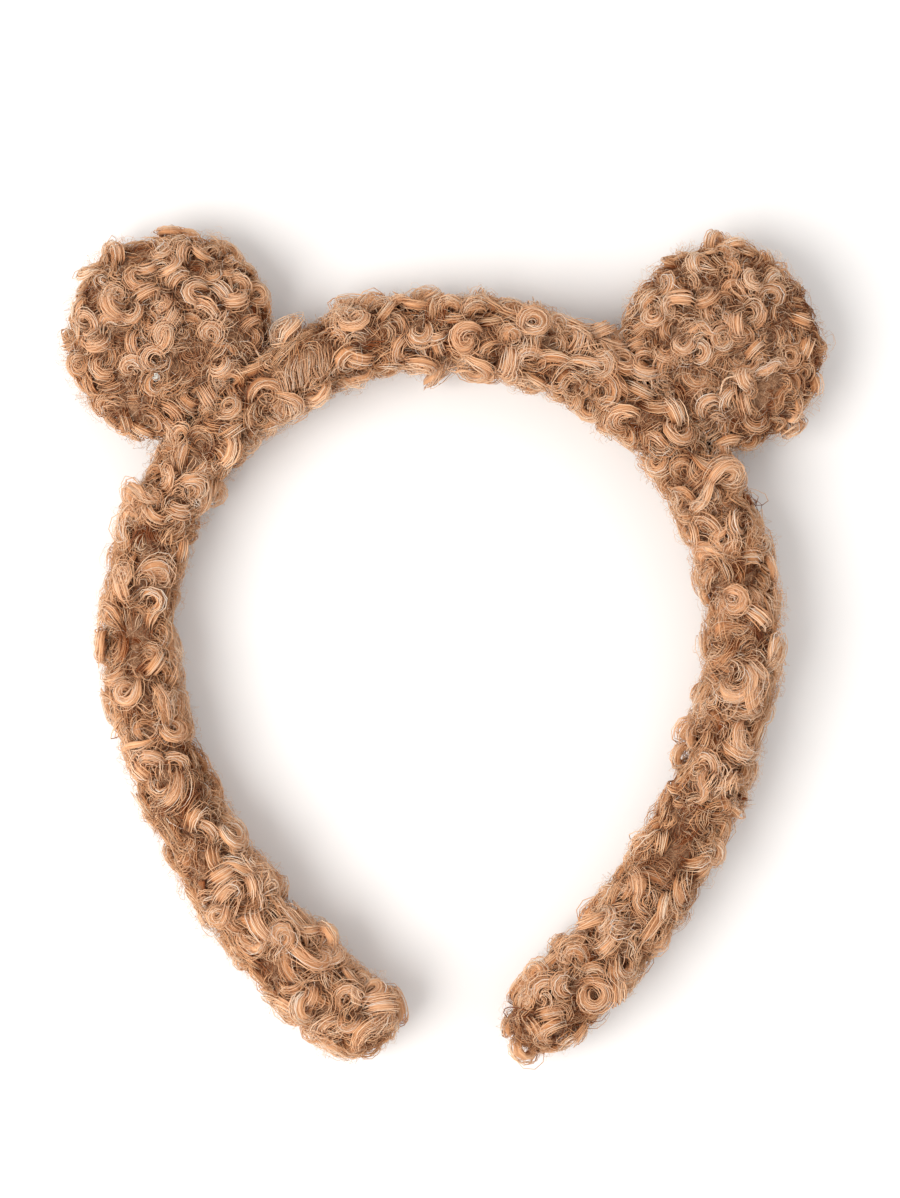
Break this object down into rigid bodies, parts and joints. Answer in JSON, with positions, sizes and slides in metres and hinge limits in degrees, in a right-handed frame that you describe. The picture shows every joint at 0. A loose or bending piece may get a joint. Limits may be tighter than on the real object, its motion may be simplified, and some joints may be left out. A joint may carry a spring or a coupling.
{
  "type": "animal ears headband",
  "caption": "Soft sprung headband covered in curly-pile fabric, with round padded animal ears that lean on their sewn bases.",
  "frame": {"origin": "under the middle of the headband's bounding box, on the surface that it lies flat on", "axes": "+Y towards the crown and ears, +X towards the ear on the right in the front view, +Z towards the wearer's front"},
  "size_m": [0.1764, 0.1934, 0.0247],
  "materials": {
    "boucle_fabric": "curly looped pile, matt with a soft sheen",
    "sewing_thread": "twisted polyester thread, slight sheen",
    "padding_foam": "open-cell foam, matt",
    "ear_wadding": "polyester fibre filling, matt",
    "spring_steel": "rolled spring strip, satin",
    "tip_cap_vinyl": "moulded vinyl, matt"
  },
  "bodies": {
    "crown": {"spring_strip_crown": "spring_steel", "padding_crown": "padding_foam", "cover_crown": "boucle_fabric", "seam_thread_crown": "sewing_thread"},
    "left_upper_arm": {"spring_strip_left_upper_arm": "spring_steel", "padding_left_upper_arm": "padding_foam", "cover_left_upper_arm": "boucle_fabric", "seam_thread_left_upper_arm": "sewing_thread"},
    "left_lower_arm": {"spring_strip_left_lower_arm": "spring_steel", "padding_left_lower_arm": "padding_foam", "cover_left_lower_arm": "boucle_fabric", "seam_thread_left_lower_arm": "sewing_thread", "tip_cap_left": "tip_cap_vinyl", "tip_gather_stitch_left": "sewing_thread"},
    "right_upper_arm": {"spring_strip_right_upper_arm": "spring_steel", "padding_right_upper_arm": "padding_foam", "cover_right_upper_arm": "boucle_fabric", "seam_thread_right_upper_arm": "sewing_thread"},
    "right_lower_arm": {"spring_strip_right_lower_arm": "spring_steel", "padding_right_lower_arm": "padding_foam", "cover_right_lower_arm": "boucle_fabric", "seam_thread_right_lower_arm": "sewing_thread", "tip_cap_right": "tip_cap_vinyl", "tip_gather_stitch_right": "sewing_thread"},
    "left_ear": {"left_ear_front_panel": "boucle_fabric", "left_ear_back_panel": "boucle_fabric", "left_ear_filling": "ear_wadding", "left_ear_rim_seam": "sewing_thread", "left_ear_base_stitches": "sewing_thread"},
    "right_ear": {"right_ear_front_panel": "boucle_fabric", "right_ear_back_panel": "boucle_fabric", "right_ear_filling": "ear_wadding", "right_ear_rim_seam": "sewing_thread", "right_ear_base_stitches": "sewing_thread"}
  },
  "joints": [
    {"name": "left_arm_flex", "type": "hinge", "parent": "crown", "child": "left_upper_arm", "pos_m": [-0.02637, 0.06757, 0.01235], "axis": [0, 0, -1], "range_deg": [-2.5, 14], "stiffness_Nm_per_rad": 1.35},
    {"name": "left_arm_lower_flex", "type": "hinge", "parent": "left_upper_arm", "child": "left_lower_arm", "pos_m": [-0.07178, -0.00663, 0.01235], "axis": [0, 0, -1], "range_deg": [-2, 10], "stiffness_Nm_per_rad": 1.06},
    {"name": "right_arm_flex", "type": "hinge", "parent": "crown", "child": "right_upper_arm", "pos_m": [0.02068, 0.06757, 0.01235], "axis": [0, 0, 1], "range_deg": [-2.5, 14], "stiffness_Nm_per_rad": 1.35},
    {"name": "right_arm_lower_flex", "type": "hinge", "parent": "right_upper_arm", "child": "right_lower_arm", "pos_m": [0.0661, -0.00663, 0.01235], "axis": [0, 0, 1], "range_deg": [-2, 10], "stiffness_Nm_per_rad": 1.06},
    {"name": "left_ear_lean", "type": "hinge", "parent": "left_upper_arm", "child": "left_ear", "pos_m": [-0.05484, 0.06205, 0.01235], "axis": [0.755, 0.6557, 0], "range_deg": [-20, 20], "stiffness_Nm_per_rad": 0.03},
    {"name": "right_ear_lean", "type": "hinge", "parent": "right_upper_arm", "child": "right_ear", "pos_m": [0.05397, 0.05751, 0.01235], "axis": [0.6977, -0.7164, 0], "range_deg": [-20, 20], "stiffness_Nm_per_rad": 0.03}
  ],
  "couplings": [
    {"joint": "left_arm_lower_flex", "follows": "left_arm_flex", "ratio": 0.68},
    {"joint": "right_arm_lower_flex", "follows": "right_arm_flex", "ratio": 0.68}
  ]
}
